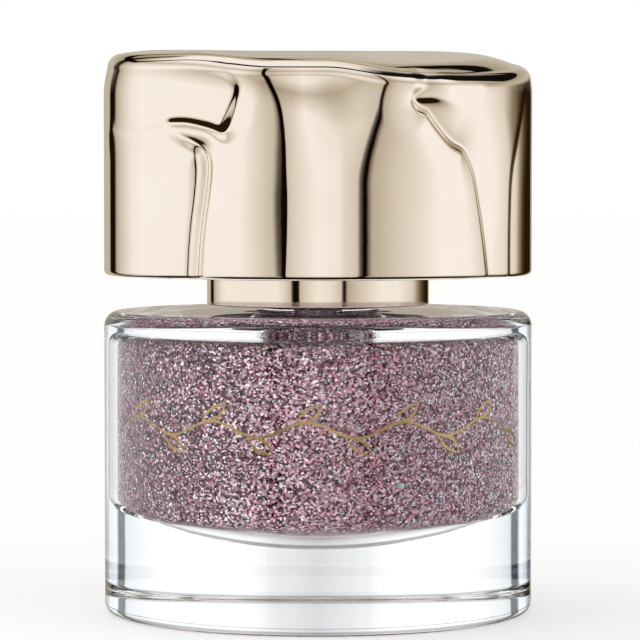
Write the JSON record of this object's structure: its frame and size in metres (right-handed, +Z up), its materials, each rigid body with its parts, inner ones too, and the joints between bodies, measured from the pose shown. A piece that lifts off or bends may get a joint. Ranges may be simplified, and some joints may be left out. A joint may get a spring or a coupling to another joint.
{
  "type": "nail polish bottle",
  "caption": "Round thick-based glass nail polish bottle with a screw-on brush cap under a dented gold pull-off overcap.",
  "frame": {"origin": "centre of the bottle's base, on the surface that it stands on", "axes": "+Z up along the bottle's axis, -Y towards the front, +X to the right as seen from the front"},
  "size_m": [0.047, 0.047, 0.0621],
  "materials": {
    "clear_glass": "polished clear flint glass",
    "glitter_polish": "pink, silver and plum glitter in clear lacquer",
    "ball_steel": "polished stainless steel",
    "liner_foam": "white polyethylene foam",
    "gold_metal": "polished champagne gold",
    "gold_plated": "mirror-bright champagne gold plating on moulded plastic",
    "cap_plastic": "satin black polypropylene",
    "stem_plastic": "natural polyethylene",
    "bristle": "fine black nylon filaments",
    "anchor_wire": "plain wire",
    "insert_plastic": "natural moulded plastic",
    "weight_steel": "plain pressed steel"
  },
  "bodies": {
    "bottle": {"glass_bottle": "clear_glass", "polish_fill": "glitter_polish"},
    "mixing_balls": {"mixing_balls": "ball_steel"},
    "liner": {"seal_liner": "liner_foam"},
    "collar": {"cap_collar": "gold_metal"},
    "brush_cap": {"brush_cap": "cap_plastic", "brush_stem": "stem_plastic", "brush_tuft": "bristle", "tuft_anchor": "anchor_wire"},
    "overcap": {"overcap_shell": "gold_plated", "overcap_insert": "insert_plastic", "overcap_weight": "weight_steel"}
  },
  "joints": [
    {"name": "ball_roll", "type": "hinge", "parent": "bottle", "child": "mixing_balls", "pos_m": [0, 0, 0.00994], "axis": [0, 0, 1], "continuous": true},
    {"name": "brush_pull", "type": "slide", "parent": "bottle", "child": "liner", "axis": [0, 0, 1], "range_m": [0, 0.045]},
    {"name": "thread_rise", "type": "slide", "parent": "liner", "child": "collar", "axis": [0, 0, 1], "range_m": [0, 0.00318]},
    {"name": "cap_turn", "type": "hinge", "parent": "collar", "child": "brush_cap", "pos_m": [0, 0, 0.04], "axis": [0, 0, 1], "range_deg": [0, 540]},
    {"name": "overcap_pull", "type": "slide", "parent": "brush_cap", "child": "overcap", "axis": [0, 0, 1], "range_m": [0, 0.03]}
  ],
  "couplings": [
    {"joint": "thread_rise", "follows": "cap_turn", "m_per_rad": 0.00033693}
  ]
}
